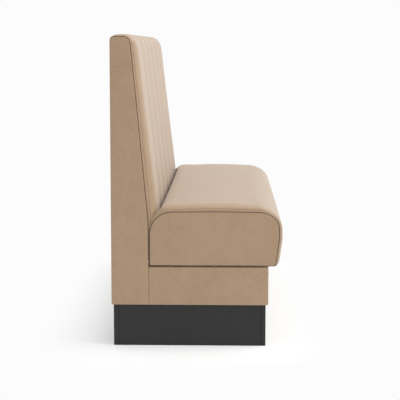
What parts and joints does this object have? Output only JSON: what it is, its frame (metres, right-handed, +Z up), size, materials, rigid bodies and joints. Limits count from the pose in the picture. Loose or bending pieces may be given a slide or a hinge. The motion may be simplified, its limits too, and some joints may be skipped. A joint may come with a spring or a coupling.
{
  "type": "restaurant booth bench",
  "caption": "Single-sided restaurant booth bench: tall raked back with vertical stuffed channels, lift-off crowned seat cushion, padded base box and black plinth.",
  "frame": {"origin": "on the floor, in the middle of the bench's length and depth", "axes": "+X along the bench, -Y out of the seat towards the table, +Z up"},
  "size_m": [1.2, 0.589, 1.067],
  "materials": {
    "beige_leather": "matte",
    "rear_panel_leather": "matte",
    "black_laminate": "matte laminate",
    "birch_plywood": "sanded",
    "seat_foam": "open-cell foam",
    "zinc_steel": "zinc plated",
    "black_nylon": "moulded"
  },
  "bodies": {
    "root": {"back_bottom_rail": "birch_plywood", "back_channel_1": "beige_leather", "back_channel_2": "beige_leather", "back_channel_3": "beige_leather", "back_channel_4": "beige_leather", "back_channel_5": "beige_leather", "back_channel_6": "beige_leather", "back_front_board": "birch_plywood", "back_gusset_end_left": "birch_plywood", "back_gusset_end_right": "birch_plywood", "back_gusset_mid_left": "birch_plywood", "back_gusset_mid_right": "birch_plywood", "back_left_cover": "beige_leather", "back_lumbar_board": "birch_plywood", "back_rear_panel": "rear_panel_leather", "back_rear_rail": "birch_plywood", "back_right_cover": "beige_leather", "back_top_rail": "birch_plywood", "base_front_cover": "beige_leather", "base_front_rail": "birch_plywood", "base_left_cover": "beige_leather", "base_left_panel": "birch_plywood", "base_left_rib": "birch_plywood", "base_rear_rail": "birch_plywood", "base_right_cover": "beige_leather", "base_right_panel": "birch_plywood", "base_right_rib": "birch_plywood", "frame_bolts": "zinc_steel", "frame_nuts": "zinc_steel", "plinth_block_front_left": "birch_plywood", "plinth_block_front_right": "birch_plywood", "plinth_block_rear_left": "birch_plywood", "plinth_block_rear_right": "birch_plywood", "plinth_front_board": "black_laminate", "plinth_left_board": "black_laminate", "plinth_left_cross_member": "birch_plywood", "plinth_rear_board": "black_laminate", "plinth_right_board": "black_laminate", "plinth_right_cross_member": "birch_plywood", "tee_nuts": "zinc_steel"},
    "seat": {"seat_board": "birch_plywood", "seat_foam": "seat_foam", "seat_left_cover": "beige_leather", "seat_locating_blocks": "birch_plywood", "seat_right_cover": "beige_leather", "seat_wrap": "beige_leather"},
    "glide_front_left": {"glide_foot_front_left": "black_nylon", "glide_stem_front_left": "zinc_steel"},
    "glide_front_right": {"glide_foot_front_right": "black_nylon", "glide_stem_front_right": "zinc_steel"},
    "glide_rear_left": {"glide_foot_rear_left": "black_nylon", "glide_stem_rear_left": "zinc_steel"},
    "glide_rear_right": {"glide_foot_rear_right": "black_nylon", "glide_stem_rear_right": "zinc_steel"}
  },
  "joints": [
    {"name": "seat_lift", "type": "slide", "parent": "root", "child": "seat", "axis": [0, 0, 1], "range_m": [0, 0.25]},
    {"name": "glide_front_left_thread", "type": "slide", "parent": "root", "child": "glide_front_left", "axis": [0, 0, -1], "range_m": [0, 0.02]},
    {"name": "glide_front_right_thread", "type": "slide", "parent": "root", "child": "glide_front_right", "axis": [0, 0, -1], "range_m": [0, 0.02]},
    {"name": "glide_rear_left_thread", "type": "slide", "parent": "root", "child": "glide_rear_left", "axis": [0, 0, -1], "range_m": [0, 0.02]},
    {"name": "glide_rear_right_thread", "type": "slide", "parent": "root", "child": "glide_rear_right", "axis": [0, 0, -1], "range_m": [0, 0.02]}
  ]
}
